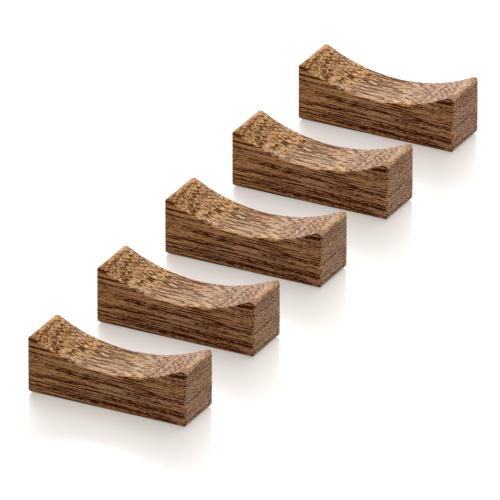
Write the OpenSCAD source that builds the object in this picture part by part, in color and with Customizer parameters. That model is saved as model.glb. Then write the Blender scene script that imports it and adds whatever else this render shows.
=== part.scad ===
// Row of solid wooden chopstick rests.
// Each rest is one block, cut from a planed batten with the grain along its length. Its top is
// dished in an arc that runs out into a rounded crest at each end, where the tips of a pair of
// chopsticks lie across it. The blocks stand loose, in an even row that steps a little sideways.
// X is the length of a rest, Y is its width and the way the row runs, Z is up.

/* [Block] */
// Length of one rest, along the grain
rest_length = 60; // [50:1:80]
// Width of one rest, which is how far a chopstick is carried
rest_width = 20; // [14:1:32]
// Height of the crests above the table
rest_height = 21; // [17:1:28]

/* [Dish] */
// Depth of the dish below the crests
dish_depth = 7.2; // [4:0.2:9]
// Radius of the crest that ends the dish on each side
crest_round = 1.5; // [1:0.1:3]
// Radius rolled over the long edges of the dish and the rims of the crests
dish_roll = 0.5; // [0.2:0.1:0.8]

/* [Eased edges] */
// Radius round the foot
foot_round = 2; // [0.4:0.1:2.5]
// Radius of the four upright edges
upright_round = 1.4; // [0.4:0.1:2.5]

/* [Row] */
// Number of rests in the row
rest_count = 5; // [1:1:9]
// Clear gap from one rest to the next
row_gap = 37.5; // [10:0.5:60]
// Step along X from one rest to the next
row_step = -4.3; // [-12:0.1:12]

/* [Hidden] */
$fn = 96;
wood = "#7d5a3c";
// How far a blank or a cutter reaches past the faces that it shapes
overrun = 2;

// The dish is the arc that touches both crests and dips by its depth between them
crest_x = rest_length / 2 - crest_round;
crest_z = rest_height - crest_round;
dish_radius = (crest_x ^ 2 + dish_depth ^ 2) / (2 * dish_depth) - crest_round;
dish_axis_z = rest_height - dish_depth + dish_radius;

// The point where the arc touches a crest, and its direction as seen from the crest's centre
touch_angle = atan2(dish_axis_z - crest_z, -crest_x);
touch_x = crest_x + crest_round * cos(touch_angle);
touch_z = crest_z + crest_round * sin(touch_angle);

row_pitch = rest_width + row_gap;
row_middle = (rest_count + 1) / 2;

// Its children, and their mirror image across the plane square to the given direction
module both_sides(direction) {
    children();
    mirror(direction) children();
}

// What a radius takes off a square corner at the origin, whose wood lies below and to the left
module corner_waste(radius) {
    difference() {
        translate([-radius, -radius]) square(radius + overrun);
        translate([-radius, -radius]) circle(radius);
    }
}

// A rectangle that stands on the X axis, with its lower and upper corners rounded
module rounded_blank(width, height, lower_round, upper_round) {
    difference() {
        translate([-width / 2, 0]) square([width, height]);
        both_sides([1, 0]) {
            translate([width / 2, height]) corner_waste(upper_round);
            translate([width / 2, 0]) mirror([0, 1]) corner_waste(lower_round);
        }
    }
}

// The wood above the dish, and above the inner side of each crest
module dish_waste() {
    translate([0, dish_axis_z]) circle(dish_radius);
    both_sides([1, 0])
        difference() {
            polygon([
                [crest_x, crest_z],
                [crest_x, rest_height + overrun],
                [0, rest_height + overrun],
                [touch_x, touch_z]
            ]);
            translate([crest_x, crest_z]) circle(crest_round);
        }
}

// A long side of the block, with its foot, crests and dish
module side_profile() {
    difference() {
        rounded_blank(rest_length, rest_height, foot_round, crest_round);
        dish_waste();
    }
}

// The block seen from above, with its upright edges rounded
module plan_profile() {
    translate([0, -rest_width / 2])
        rounded_blank(rest_length, rest_width, upright_round, upright_round);
}

// The block seen from its end, with a rounded foot, and open above the crests
module end_profile() {
    difference() {
        translate([-rest_width / 2, 0]) square([rest_width, rest_height + overrun]);
        both_sides([1, 0])
            translate([rest_width / 2, 0]) mirror([0, 1]) corner_waste(foot_round);
    }
}

// The block before its upper edges are rolled: what its three outlines have in common
module block() {
    intersection() {
        rotate([90, 0, 0])
            translate([0, 0, -rest_width / 2])
                linear_extrude(rest_width) side_profile();
        translate([0, 0, -overrun])
            linear_extrude(overrun + rest_height + overrun) plan_profile();
        rotate([90, 0, 90])
            translate([0, 0, -rest_length / 2 - overrun])
                linear_extrude(overrun + rest_length + overrun) end_profile();
    }
}

// A wheel the size of the dish, flared at both rims, that rolls the long edges of the dish
module dish_edge_cutter() {
    translate([0, 0, dish_axis_z])
        rotate([90, 0, 0])
            both_sides([0, 0, 1])
                rotate_extrude() {
                    square([dish_radius, rest_width / 2 + overrun]);
                    translate([dish_radius, rest_width / 2]) mirror([1, 0]) corner_waste(dish_roll);
                }
}

// The same roll carried round both rims of each crest, from the dish to the end face
module crest_rim_cutters() {
    both_sides([1, 0, 0])
        both_sides([0, 1, 0])
            translate([crest_x, 0, crest_z])
                rotate([90, 0, 0])
                    mirror([0, 0, 1])
                        rotate_extrude(angle = touch_angle)
                            translate([crest_round, rest_width / 2]) corner_waste(dish_roll);
}

// One finished rest, standing on the table at the origin
module rest() {
    color(wood)
        difference() {
            block();
            dish_edge_cutter();
            crest_rim_cutters();
        }
}

// Each rest in its place, counted from the front of the row
for (place = [1 : rest_count])
    translate([row_step, row_pitch, 0] * (place - row_middle))
        rest();
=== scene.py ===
"""A row of five dished wooden chopstick rests on a white table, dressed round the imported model."""

import math

import bpy
from mathutils import Color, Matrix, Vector


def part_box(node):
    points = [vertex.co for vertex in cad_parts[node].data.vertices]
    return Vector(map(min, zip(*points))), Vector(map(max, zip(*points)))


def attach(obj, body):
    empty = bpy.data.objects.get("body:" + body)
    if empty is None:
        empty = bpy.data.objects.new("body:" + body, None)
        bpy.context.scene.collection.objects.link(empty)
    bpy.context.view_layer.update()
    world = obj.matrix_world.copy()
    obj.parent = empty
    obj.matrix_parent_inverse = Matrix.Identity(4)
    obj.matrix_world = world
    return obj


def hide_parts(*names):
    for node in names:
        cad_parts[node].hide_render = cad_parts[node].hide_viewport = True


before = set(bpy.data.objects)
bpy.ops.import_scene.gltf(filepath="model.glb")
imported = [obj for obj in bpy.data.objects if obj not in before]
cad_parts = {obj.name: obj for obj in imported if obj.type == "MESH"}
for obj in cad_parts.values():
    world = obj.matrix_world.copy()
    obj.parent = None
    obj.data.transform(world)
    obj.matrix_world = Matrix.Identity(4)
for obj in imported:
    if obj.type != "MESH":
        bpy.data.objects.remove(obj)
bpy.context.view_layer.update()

bl_info = {
    "name": "Wooden Chopstick Rests",
    "version": (1, 0, 0),
    "blender": (4, 5, 0),
    "location": "View3D > Sidebar > Rests",
    "description": "Dresses a row of dished wooden blocks and sets them on a white table",
    "category": "Object",
}

MM = 0.001
RESTS = sorted(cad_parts)

# Vertices closer than this are one
MERGE = 0.001 * MM
# Share of the relief by which even the palest wood is sanded below the sawn block
SANDED_DOWN = 0.1

# The figure of the wood. Sizes are in millimetres along the fibres, across them and up the block, and a
# weight is what a pattern adds to the tone. The dark strands are the palm's fibre bundles, with thinner
# threads between them, and they run from end to end. A strand's cell is its room across and up the block,
# and its radius and the softness of its edge are shares of the cell. The finest fibres are drawn a third of
# a millimetre thick, because real ones are too fine to show at this size. The bands are thin flat layers,
# which show as streaks on the sides and as lines across the steep parts of the dish.
BUNDLES = {"cell": (1.1, 0.85), "loose": 0.35, "radius": 0.3, "soft": 0.12, "weight": -1.2}
THREADS = {"cell": (0.65, 0.36), "loose": 0.7, "radius": 0.3, "soft": 0.14, "weight": -1.0}
# Slope in degrees of the rows in which the strands lie, as seen from an end
ROW_SLOPE = 18
# Depth of the faintest strand, as a share of the darkest one's
FAINTEST_STRAND = 0.4
# How far a strand's edge is frayed by the fibres, and how far the breaks thin it, as shares of the cell
WEAR = {"frayed": 0.4, "broken": 0.6}
BREAKS = {"size": (6, 1.4, 0.7), "detail": 1.0}
FIBRES = {"size": (24, 0.5, 0.36), "detail": 2.0, "weight": 3.6}
PORES = {"size": (1.5, 0.35, 0.3), "detail": 1.0, "weight": 2.6}
BANDS = {"size": (100, 18, 0.6), "detail": 1.0, "weight": 2.3}
ZONES = {"size": (60, 12, 4), "detail": 2.0, "weight": 0.4}
NOISE_ROUGHNESS = 0.6
# Where in the log the block is cut, in millimetres along, across and up
LOG_PLACE = (0, 32.1, -30.9)
# How far the fibres wander off their line, across and up
WANDER = {"size": (60, 8, 8), "detail": 1.0, "across": 1.2, "up": 0.7}
# Patches of golden wood in the brown, which get fewer towards the right end, where a painted sheen greys
# the wood
HUES = {"size": (34, 6, 2.2), "detail": 2.0, "low": 0.42, "high": 0.58, "painted_sheen_greying": 0.0025}
# The tone between the strands, and the painted shade that darkens it with each millimetre towards the right
# end
TONE = 1.06
RIGHTWARD_PAINTED_SHADE = 0.003
# Tones at which the strand, shade, ground and light colours stand. The sawn sides show more contrast.
SAWN_PLACES = (0.11, 0.39, 0.63, 0.85)
SANDED_PLACES = (0.0, 0.35, 0.7, 1.0)

# Surfaces of the block, which fade in between two slopes of the skin. The sanded dish, crests and ends
# are gone where the normal leans far sideways or down, because the sides and the underside keep the sawn
# look, and a cut end is full where the normal leans far endways. Each adds its tone to the wood's, which
# on a cut end is painted shade, and the sanded wood also gets a painted sheen that pales it with each
# millimetre towards the right end. The mix is how far its colours, paler and greyer partly for the sanded
# finish and partly as painted sheen, replace the sawn ones, and the greyness how far painted cool shade
# takes the golden hue from a cut end.
SANDED = {"gone": 0.7, "full": 0.3, "tone": -0.045, "painted_sheen_paling": 0.0085, "finish_and_sheen_mix": 0.85}
CUT_END_WITH_PAINTED_SHADE = {"gone": 0.8, "full": 0.95, "tone": -0.24, "painted_shade_greyness": 1.0}
# The edges and the crests are drawn to an even, paler tone, partly by wear from handling and partly by a
# painted highlight: how far it draws them there, and between which limits it fades in. On the rounded
# edges of the ends it follows how far the normal is from leaning half way to endways, and on the crests,
# where the skin faces up, the distance from the middle of the block in millimetres.
WEAR_AND_HIGHLIGHT_TONE = 0.9
HALF_WAY = 0.71
EASED_EDGE = {"gone": 0.2, "full": 0.08, "wear_and_highlight_pull": 0.22}
CREST = {"gone": 27.3, "full": 28.1, "wear_and_highlight_pull": 0.6}
FACING_UP = {"gone": 0.3, "full": 0.6}
SHEEN = {"level": 0.05, "strand_roughness": 0.5, "roughness": 0.36, "tint": "#ffdcae", "ior": 1.45}

# The table top. The eye sees mostly an even white glow, a share of which is shaded by the lamps, under a
# gloss that mixes a clearer reflection with a hazy one.
LAMINATE = {"shading": 0.12, "gloss": 0.485, "haze": 0.8, "clear_roughness": 0.1, "haze_roughness": 0.56}
GLOW = "#fff8f0"
# What the table throws back at matt surfaces
BOUNCE = "#9a9a9a"
WHITE = "#ffffff"
# Strength of the sky on matt surfaces, where the eye sees it at full strength
FILL = 0.45

# Soft lamps: where each hangs, in metres from the middle of the row, its power, and its size in metres
LAMPS = {
    "overhead_softbox": {"place": (0.3, 0.1, 0.9), "watts": 5.5, "width": 0.9, "height": 0.9},
    "back_softbox": {"place": (-0.8, 1.6, 0.6), "watts": 18, "width": 2.4, "height": 1.2},
}
# Width of the table top, in metres
TABLE_SIZE = 6
# Width of the camera's sensor and focal length of its lens, in millimetres
SENSOR = 36
LENS = 1500
# How far the camera sees, in metres
FAR_CLIP = 20
# Where the camera looks, in millimetres right and up from the middle of the row
AIM = (-1.97, 3.66)


def foot_centre(node):
    """The point on the table under the middle of a rest."""
    low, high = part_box(node)
    return Vector(((low[0] + high[0]) / 2, (low[1] + high[1]) / 2, low[2]))


def linear(hex_colour):
    """An sRGB hex colour as the linear red, green, blue and alpha that a socket takes."""
    parts = [int(hex_colour[place:place + 2], 16) / 255 for place in (1, 3, 5)]
    return [*Color(parts).from_srgb_to_scene_linear(), 1.0]


def add_node(tree, kind, settings=(), links=()):
    """Adds a node. A setting names one of its properties or input sockets, a link one of its inputs."""
    node = tree.nodes.new(kind)
    for name, value in dict(settings).items():
        if isinstance(name, str) and hasattr(node, name):
            setattr(node, name, value)
        else:
            node.inputs[name].default_value = value
    for name, source in dict(links).items():
        tree.links.new(source, node.inputs[name])
    return node


def colour_property(name, description, hex_colour):
    """A colour that a user can change."""
    return bpy.props.FloatVectorProperty(
        name=name, description=description, default=linear(hex_colour), size=4, min=0, max=1,
        subtype="COLOR")


def length_property(name, description, millimetres):
    """A length that a user can change."""
    return bpy.props.FloatProperty(
        name=name, description=description, default=millimetres * MM, precision=5, subtype="DISTANCE",
        unit="LENGTH")


class BlockSettings(bpy.types.PropertyGroup):
    """The skin of the rests."""
    grid: length_property("Grid", "Size of the squares that the skin is made of", 0.3)
    relief: length_property("Relief", "How far the dark strands sink below the sanded wood", 0.04)


class WoodSettings(bpy.types.PropertyGroup):
    """The wood that the rests are cut from."""
    grain_fall: bpy.props.FloatProperty(
        name="Grain Fall", description="Angle at which the fibres fall towards the right end",
        default=math.radians(1.8), subtype="ANGLE")
    brown_strand: colour_property("Brown Strand", "Darkest strands in the brown wood", "#401803")
    brown_shade: colour_property("Brown Shade", "Shaded fibres of the brown wood", "#6a3116")
    brown_ground: colour_property("Brown Ground", "Ground of the brown wood", "#9d5d3e")
    brown_light: colour_property("Brown Light", "Palest fibres of the brown wood", "#cb9972")
    golden_strand: colour_property("Golden Strand", "Darkest strands in the golden wood", "#4a1c02")
    golden_shade: colour_property("Golden Shade", "Shaded fibres of the golden wood", "#7a3a12")
    golden_ground: colour_property("Golden Ground", "Ground of the golden wood", "#b16e39")
    golden_light: colour_property("Golden Light", "Palest fibres of the golden wood", "#d9a26b")
    # The greyer colours also carry the painted sheen towards the right end and the painted cool shade of
    # the cut ends
    grey_strand: colour_property("Grey Strand", "Darkest strands in the greyer sanded wood", "#664226")
    grey_shade: colour_property("Grey Shade", "Shaded fibres of the greyer sanded wood", "#8e6244")
    grey_ground: colour_property("Grey Ground", "Ground of the greyer sanded wood", "#aa8562")
    grey_light: colour_property("Grey Light", "Palest fibres of the greyer sanded wood", "#d4b090")
    # The sanded colours are paler and greyer than the sawn ones, partly for the sanded finish and partly as
    # painted sheen
    sanded_strand: colour_property("Sanded Strand", "Darkest strands in the sanded wood", "#4c2808")
    sanded_shade: colour_property("Sanded Shade", "Shaded fibres of the sanded wood", "#824816")
    sanded_ground: colour_property("Sanded Ground", "Ground of the sanded wood", "#b0824e")
    sanded_light: colour_property("Sanded Light", "Palest fibres of the sanded wood", "#daae7e")


class StageSettings(bpy.types.PropertyGroup):
    """The table, the lights and the camera."""
    azimuth: bpy.props.FloatProperty(
        name="Azimuth", description="Turn of the camera from straight in front towards the right end",
        default=math.radians(27.45), subtype="ANGLE")
    elevation: bpy.props.FloatProperty(
        name="Elevation", description="Height angle of the camera",
        default=math.radians(25.84), subtype="ANGLE")
    distance: bpy.props.FloatProperty(
        name="Distance", description="Distance from the camera to the middle of the row",
        default=7.057, subtype="DISTANCE", unit="LENGTH")
    table_colour: colour_property("Table", "Colour of the table top", "#f4f4f4")


def scaled(tree, place, size):
    """The place measured in units of a size, so that one unit of a texture is that long."""
    shares = [1 / length for length in size]
    return add_node(tree, "ShaderNodeVectorMath", {
        "operation": "MULTIPLY", 1: shares}, {0: place}).outputs[0]


def parts_of(tree, vector):
    """The X, Y and Z of a vector."""
    return add_node(tree, "ShaderNodeSeparateXYZ", (), {0: vector}).outputs


def weighed(tree, source, weight, rest):
    """A source times its weight, added to the rest."""
    node = add_node(tree, "ShaderNodeMath", {"operation": "MULTIPLY_ADD", 1: weight}, {0: source})
    if isinstance(rest, float):
        node.inputs[2].default_value = rest
    else:
        tree.links.new(rest, node.inputs[2])
    return node.outputs[0]


def noise(tree, place, pattern):
    """Cloudy noise stretched to the sizes of a pattern."""
    return add_node(tree, "ShaderNodeTexNoise", {
        "Scale": 1.0, "Detail": pattern["detail"], "Roughness": NOISE_ROUGHNESS},
        {"Vector": scaled(tree, place, pattern["size"])})


def strands(tree, section, pattern, wear):
    """Long dark strands, each with its own depth of tone, that the wear frays and breaks."""
    cells = add_node(tree, "ShaderNodeTexVoronoi", {
        "voronoi_dimensions": "2D", "Scale": 1.0, "Randomness": pattern["loose"]},
        {"Vector": scaled(tree, section, (*pattern["cell"], 1))})
    mask = add_node(tree, "ShaderNodeMapRange", {
        "interpolation_type": "SMOOTHSTEP", "From Min": pattern["radius"] - pattern["soft"],
        "From Max": pattern["radius"] + pattern["soft"], "To Min": 1.0, "To Max": 0.0},
        {"Value": weighed(tree, cells.outputs["Distance"], 1.0, wear)})
    depth = add_node(tree, "ShaderNodeMapRange", {
        "To Min": FAINTEST_STRAND}, {"Value": cells.outputs["Color"]})
    return product(tree, mask.outputs[0], depth.outputs[0])


def figure(tree, place, wood):
    """The wood's tone, 0 dark to 1 pale, and its hue, 0 brown to 1 golden, at a place given in millimetres
    from the middle of the foot. It serves the material and the relief alike."""
    turned = add_node(tree, "ShaderNodeVectorRotate", {
        "rotation_type": "Y_AXIS", "Angle": -wood.grain_fall}, {"Vector": place}).outputs[0]
    wander = noise(tree, turned, WANDER).outputs["Color"]
    reach = Vector((0, 2 * WANDER["across"], 2 * WANDER["up"]))
    shift = add_node(tree, "ShaderNodeVectorMath", {
        "operation": "MULTIPLY_ADD", 1: reach, 2: Vector(LOG_PLACE) - reach / 2}, {0: wander}).outputs[0]
    grain = add_node(tree, "ShaderNodeVectorMath", {"operation": "ADD"}, {0: turned, 1: shift}).outputs[0]
    rows = add_node(tree, "ShaderNodeVectorRotate", {
        "rotation_type": "X_AXIS", "Angle": math.radians(ROW_SLOPE)}, {"Vector": grain}).outputs[0]
    parts = parts_of(tree, rows)
    along = parts["X"]
    section = add_node(tree, "ShaderNodeCombineXYZ", (), {0: parts["Y"], 1: parts["Z"]}).outputs[0]

    # Every noise averages one half, so half its weight comes off the tone
    fibres = noise(tree, grain, FIBRES).outputs[0]
    clouds = [(fibres, FIBRES["weight"])]
    for pattern in (PORES, BANDS, ZONES):
        clouds.append((noise(tree, grain, pattern).outputs[0], pattern["weight"]))
    tone = TONE - sum(weight for cloud, weight in clouds) / 2
    for cloud, weight in clouds:
        tone = weighed(tree, cloud, weight, tone)

    wear = weighed(tree, fibres, WEAR["frayed"], -(WEAR["frayed"] + WEAR["broken"]) / 2)
    wear = weighed(tree, noise(tree, grain, BREAKS).outputs[0], WEAR["broken"], wear)
    for pattern in (BUNDLES, THREADS):
        tone = weighed(tree, strands(tree, section, pattern, wear), pattern["weight"], tone)
    # Painted shade: the wood darkens with each millimetre towards the right end
    tone = weighed(tree, along, -RIGHTWARD_PAINTED_SHADE, tone)

    # Painted sheen: the golden patches get fewer and greyer towards the right end
    patches = weighed(tree, along, -HUES["painted_sheen_greying"], noise(tree, grain, HUES).outputs[0])
    hue = add_node(tree, "ShaderNodeMapRange", {
        "interpolation_type": "SMOOTHSTEP", "From Min": HUES["low"], "From Max": HUES["high"]},
        {"Value": patches})
    return tone, hue.outputs[0]


def colour_ramp(tree, tone, places, wood, kind):
    """One kind's strand, shade, ground and light colours, each at its place in the tone."""
    node = add_node(tree, "ShaderNodeValToRGB", (), {"Fac": tone})
    stops = node.color_ramp.elements
    for position in places[len(stops):]:
        stops.new(position)
    for stop, position, shade in zip(stops, places, ("strand", "shade", "ground", "light")):
        stop.position = position
        stop.color = getattr(wood, f"{kind}_{shade}")
    return node.outputs[0]


def blended(tree, share, first, second):
    """The first colour turning into the second as the share goes from 0 to 1."""
    return add_node(tree, "ShaderNodeMixRGB", (), {
        "Fac": share, "Color1": first, "Color2": second}).outputs[0]


def product(tree, first, second):
    """Two values multiplied."""
    return add_node(tree, "ShaderNodeMath", {"operation": "MULTIPLY"}, {0: first, 1: second}).outputs[0]


def unsigned(tree, source):
    """A value without its sign."""
    return add_node(tree, "ShaderNodeMath", {"operation": "ABSOLUTE"}, {0: source}).outputs[0]


def larger(tree, first, second):
    """The larger of two values."""
    return add_node(tree, "ShaderNodeMath", {"operation": "MAXIMUM"}, {0: first, 1: second}).outputs[0]


def wood_material(wood):
    """Oiled palm wood, sawn and sanded: near-black fibre strands in a tan ground, with a soft satin sheen
    that shows at low angles."""
    material = bpy.data.materials.new("oiled_palm_wood")
    material.use_nodes = True
    tree = material.node_tree
    tree.nodes.clear()
    place = add_node(tree, "ShaderNodeAttribute", {"attribute_name": "grain_place"}).outputs["Vector"]
    sanded = add_node(tree, "ShaderNodeAttribute", {"attribute_name": "sanded"}).outputs["Fac"]
    cut_end = add_node(tree, "ShaderNodeAttribute", {"attribute_name": "cut_end"}).outputs["Fac"]
    rubbed = add_node(tree, "ShaderNodeAttribute", {"attribute_name": "rubbed"}).outputs["Fac"]
    tone, hue = figure(tree, place, wood)
    along = parts_of(tree, place)["X"]
    tone = weighed(tree, sanded, SANDED["tone"], tone)
    # Painted sheen: the sanded wood pales with each millimetre towards the right end
    tone = weighed(tree, product(tree, sanded, along), SANDED["painted_sheen_paling"], tone)
    # Painted shade darkens the cut ends
    tone = weighed(tree, cut_end, CUT_END_WITH_PAINTED_SHADE["tone"], tone)
    # Wear and a painted highlight draw the edges and the crests to a paler tone
    tone = weighed(tree, product(tree, rubbed, weighed(tree, tone, -1.0, WEAR_AND_HIGHLIGHT_TONE)), 1.0, tone)
    brown, golden = (colour_ramp(tree, tone, SAWN_PLACES, wood, kind) for kind in ("brown", "golden"))
    sawn_face = blended(tree, hue, brown, golden)
    # Sanded colours, paler partly for the finish and partly as painted sheen
    grey, warm = (colour_ramp(tree, tone, SANDED_PLACES, wood, kind) for kind in ("grey", "sanded"))
    # Painted cool shade takes the golden hue from the cut ends
    warmth = product(tree, hue, weighed(tree, cut_end, -CUT_END_WITH_PAINTED_SHADE["painted_shade_greyness"], 1.0))
    sanded_and_sheen_face = blended(tree, warmth, grey, warm)
    share = weighed(tree, sanded, SANDED["finish_and_sheen_mix"], 0.0)
    colour = blended(tree, share, sawn_face, sanded_and_sheen_face)
    roughness = add_node(tree, "ShaderNodeMapRange", {
        "To Min": SHEEN["strand_roughness"], "To Max": SHEEN["roughness"]}, {"Value": tone})
    skin = add_node(tree, "ShaderNodeBsdfPrincipled", {
        "IOR": SHEEN["ior"], "Specular IOR Level": SHEEN["level"], "Specular Tint": linear(SHEEN["tint"])},
        {"Base Color": colour, "Roughness": roughness.outputs[0]})
    add_node(tree, "ShaderNodeOutputMaterial", (), {"Surface": skin.outputs[0]})
    return material


def noted(tree, geometry, name, kind, value):
    """The geometry with a value kept under a name at each point."""
    return add_node(tree, "GeometryNodeStoreNamedAttribute", {
        "data_type": kind, "domain": "POINT", "Name": name}, {
        "Geometry": geometry, "Value": value}).outputs[0]


def surface_share(tree, measure, surface):
    """How much of a surface shows, by a measure that runs from where it is gone to where it is full."""
    return add_node(tree, "ShaderNodeMapRange", {
        "From Min": surface["gone"], "From Max": surface["full"]}, {"Value": measure}).outputs[0]


def relief_tree(origin, wood, depth):
    """Geometry nodes that sink the dark strands into the skin, and note for the material where each point
    lies in the block and which of its surfaces it belongs to."""
    tree = bpy.data.node_groups.new("strand_relief", "GeometryNodeTree")
    tree.interface.new_socket("Geometry", in_out="INPUT", socket_type="NodeSocketGeometry")
    tree.interface.new_socket("Geometry", in_out="OUTPUT", socket_type="NodeSocketGeometry")
    start = add_node(tree, "NodeGroupInput")
    position = add_node(tree, "GeometryNodeInputPosition").outputs[0]
    moved = add_node(tree, "ShaderNodeVectorMath", {
        "operation": "SUBTRACT", 1: origin}, {0: position}).outputs[0]
    place = scaled(tree, moved, (MM, MM, MM))
    tone = figure(tree, place, wood)[0]
    sunk = add_node(tree, "ShaderNodeMapRange", {
        "To Min": -depth, "To Max": -SANDED_DOWN * depth}, {"Value": tone}).outputs[0]
    normal = add_node(tree, "GeometryNodeInputNormal").outputs[0]
    offset = add_node(tree, "ShaderNodeVectorMath", {
        "operation": "SCALE"}, {0: normal, "Scale": sunk}).outputs[0]

    facing = parts_of(tree, normal)
    endways = unsigned(tree, facing["X"])
    sawn = larger(tree, unsigned(tree, facing["Y"]), weighed(tree, facing["Z"], -1.0, 0.0))
    # How far each point lies on an eased edge or an upturned crest, where wear and a painted highlight pale
    # the wood
    off_edge = unsigned(tree, weighed(tree, endways, 1.0, -HALF_WAY))
    edge = weighed(tree, surface_share(tree, off_edge, EASED_EDGE), EASED_EDGE["wear_and_highlight_pull"], 0.0)
    off_middle = unsigned(tree, parts_of(tree, place)["X"])
    crest = weighed(tree, surface_share(tree, off_middle, CREST), CREST["wear_and_highlight_pull"], 0.0)
    crest = product(tree, crest, surface_share(tree, facing["Z"], FACING_UP))
    skin = noted(tree, start.outputs[0], "grain_place", "FLOAT_VECTOR", place)
    skin = noted(tree, skin, "sanded", "FLOAT", surface_share(tree, sawn, SANDED))
    skin = noted(tree, skin, "cut_end", "FLOAT", surface_share(tree, endways, CUT_END_WITH_PAINTED_SHADE))
    skin = noted(tree, skin, "rubbed", "FLOAT", larger(tree, edge, crest))
    carved = add_node(tree, "GeometryNodeSetPosition", (), {"Geometry": skin, "Offset": offset})
    add_node(tree, "NodeGroupOutput", (), {"Geometry": carved.outputs[0]})
    return tree


def select_only(piece):
    """Leaves one object selected and active."""
    bpy.ops.object.select_all(action="DESELECT")
    piece.select_set(True)
    bpy.context.view_layer.objects.active = piece


def copy_of(source, name):
    """A copy of an object with a mesh of its own, riding on nothing."""
    select_only(source)
    bpy.ops.object.duplicate()
    piece = bpy.context.object
    piece.name = piece.data.name = name
    piece.parent = None
    for key in list(piece.keys()):
        del piece[key]
    return piece


def finished_block(block, wood, material):
    """The first rest's skin as an even grid of squares, with the strands sunk into it."""
    node = RESTS[0]
    piece = copy_of(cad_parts[node], f"wood_block_{node}")
    bpy.ops.object.mode_set(mode="EDIT")
    bpy.ops.mesh.select_all(action="SELECT")
    bpy.ops.mesh.remove_doubles(threshold=MERGE)
    bpy.ops.object.mode_set(mode="OBJECT")
    bpy.ops.object.modifier_add(type="REMESH")
    grid = piece.modifiers[-1]
    grid.mode = "VOXEL"
    grid.voxel_size = block.grid
    bpy.ops.object.modifier_apply(modifier=grid.name)
    bpy.ops.object.modifier_add(type="NODES")
    relief = piece.modifiers[-1]
    relief.node_group = relief_tree(foot_centre(node), wood, block.relief)
    bpy.ops.object.modifier_apply(modifier=relief.name)
    piece.data.materials.clear()
    piece.data.materials.append(material)
    bpy.ops.object.shade_smooth()
    return piece


class REST_OT_blocks(bpy.types.Operator):
    """Make the wooden rests"""
    bl_idname = "rest.blocks"
    bl_label = "Rests"

    def execute(self, context):
        scene = context.scene
        first = finished_block(scene.rest_block, scene.rest_wood, wood_material(scene.rest_wood))
        for node in RESTS[1:]:
            copy_of(first, f"wood_block_{node}")
            bpy.ops.object.mode_set(mode="EDIT")
            bpy.ops.mesh.select_all(action="SELECT")
            bpy.ops.transform.translate(value=foot_centre(node) - foot_centre(RESTS[0]))
            bpy.ops.object.mode_set(mode="OBJECT")
        for node in RESTS:
            piece = bpy.data.objects[f"wood_block_{node}"]
            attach(piece, node)
            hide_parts(node)
        return {"FINISHED"}


def camera_axes(azimuth, elevation):
    """The camera's right, up and backward directions."""
    right = Vector((math.cos(azimuth), math.sin(azimuth), 0))
    back = Vector((math.sin(azimuth) * math.cos(elevation), -math.cos(azimuth) * math.cos(elevation),
                   math.sin(elevation)))
    return right, back.cross(right), back


def seen_directly(tree):
    """1 for the eye and for reflections, 0 for light that falls on matt surfaces."""
    rays = add_node(tree, "ShaderNodeLightPath")
    eye = larger(tree, rays.outputs["Is Camera Ray"], rays.outputs["Is Glossy Ray"])
    return larger(tree, eye, rays.outputs["Is Transmission Ray"])


def mixed(tree, share, first, second):
    """The first shader turning into the second as the share goes from 0 to 1."""
    node = add_node(tree, "ShaderNodeMixShader", (), {1: first.outputs[0], 2: second.outputs[0]})
    if isinstance(share, float):
        node.inputs["Fac"].default_value = share
    else:
        tree.links.new(share, node.inputs["Fac"])
    return node


def table_material(colour):
    """White gloss laminate, lit evenly enough to read as plain white, with a faint mirror image."""
    material = bpy.data.materials.new("white_gloss_laminate")
    material.use_nodes = True
    tree = material.node_tree
    tree.nodes.clear()
    glow = add_node(tree, "ShaderNodeEmission", {"Color": linear(GLOW), "Strength": 1.0})
    lit = add_node(tree, "ShaderNodeBsdfDiffuse", {"Color": colour})
    clear, haze = (
        add_node(tree, "ShaderNodeBsdfGlossy", {"Color": linear(WHITE), "Roughness": LAMINATE[name]})
        for name in ("clear_roughness", "haze_roughness"))
    white = mixed(tree, LAMINATE["shading"], glow, lit)
    gloss = mixed(tree, LAMINATE["haze"], clear, haze)
    seen = mixed(tree, LAMINATE["gloss"], white, gloss)
    bounce = add_node(tree, "ShaderNodeBsdfDiffuse", {"Color": linear(BOUNCE)})
    top = mixed(tree, seen_directly(tree), bounce, seen)
    add_node(tree, "ShaderNodeOutputMaterial", (), {"Surface": top.outputs[0]})
    return material


def studio_world(scene):
    """White all round to the eye and in reflections, with a softer fill on matt surfaces."""
    world = bpy.data.worlds.new("white_studio")
    world.use_nodes = True
    tree = world.node_tree
    tree.nodes.clear()
    strength = add_node(tree, "ShaderNodeMapRange", {"To Min": FILL, "To Max": 1.0}, {
        "Value": seen_directly(tree)})
    sky = add_node(tree, "ShaderNodeBackground", {
        "Color": linear(WHITE)}, {"Strength": strength.outputs[0]})
    add_node(tree, "ShaderNodeOutputWorld", (), {"Surface": sky.outputs[0]})
    scene.world = world


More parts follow.
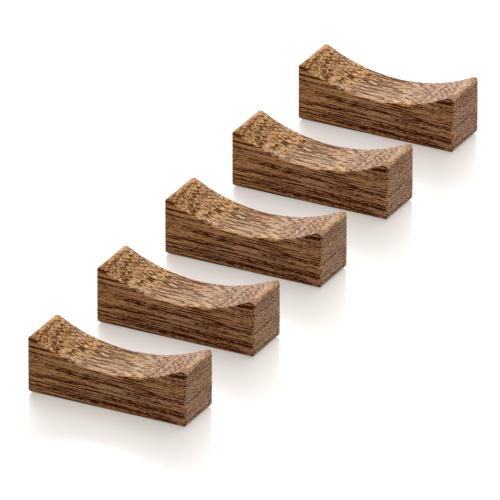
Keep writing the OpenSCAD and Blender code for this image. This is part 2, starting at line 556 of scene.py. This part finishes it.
def softbox(name, lamp):
    """A soft rectangular lamp aimed at the middle of the row."""
    place = Vector(lamp["place"])
    bpy.ops.object.light_add(type="AREA", location=place, rotation=place.to_track_quat("Z", "Y").to_euler())
    light = bpy.context.object
    light.name = name
    light.data.shape = "RECTANGLE"
    light.data.size = lamp["width"]
    light.data.size_y = lamp["height"]
    light.data.energy = lamp["watts"]


class REST_OT_stage(bpy.types.Operator):
    """Set up the table, the lights and the camera"""
    bl_idname = "rest.stage"
    bl_label = "Stage"

    def execute(self, context):
        scene = context.scene
        stage = scene.rest_stage
        bpy.ops.object.select_all(action="DESELECT")
        bpy.ops.mesh.primitive_plane_add(size=TABLE_SIZE, location=(0, 0, 0))
        table = context.object
        table.name = "table"
        table.data.materials.append(table_material(stage.table_colour))
        studio_world(scene)
        for name, lamp in LAMPS.items():
            softbox(name, lamp)

        right, up, back = camera_axes(stage.azimuth, stage.elevation)
        aim = (right * AIM[0] + up * AIM[1]) * MM
        bpy.ops.object.camera_add(
            location=aim + back * stage.distance, rotation=back.to_track_quat("Z", "Y").to_euler())
        camera = context.object
        camera.data.sensor_width = SENSOR
        camera.data.lens = LENS
        camera.data.clip_end = FAR_CLIP
        scene.camera = camera
        scene.view_settings.view_transform = "Standard"
        return {"FINISHED"}


class REST_PT_panel(bpy.types.Panel):
    """Buttons for the rests and the stage"""
    bl_label = "Chopstick Rests"
    bl_space_type = "VIEW_3D"
    bl_region_type = "UI"
    bl_category = "Rests"

    def draw(self, context):
        for name in (REST_OT_blocks.bl_idname, REST_OT_stage.bl_idname):
            self.layout.operator(name)


CLASSES = (BlockSettings, WoodSettings, StageSettings, REST_OT_blocks, REST_OT_stage, REST_PT_panel)


def register():
    for entry in CLASSES:
        bpy.utils.register_class(entry)
    bpy.types.Scene.rest_block = bpy.props.PointerProperty(type=BlockSettings)
    bpy.types.Scene.rest_wood = bpy.props.PointerProperty(type=WoodSettings)
    bpy.types.Scene.rest_stage = bpy.props.PointerProperty(type=StageSettings)


def unregister():
    del bpy.types.Scene.rest_stage
    del bpy.types.Scene.rest_wood
    del bpy.types.Scene.rest_block
    for entry in reversed(CLASSES):
        bpy.utils.unregister_class(entry)


def main():
    register()
    bpy.ops.rest.blocks()
    bpy.ops.rest.stage()


if __name__ == "__main__":
    main()
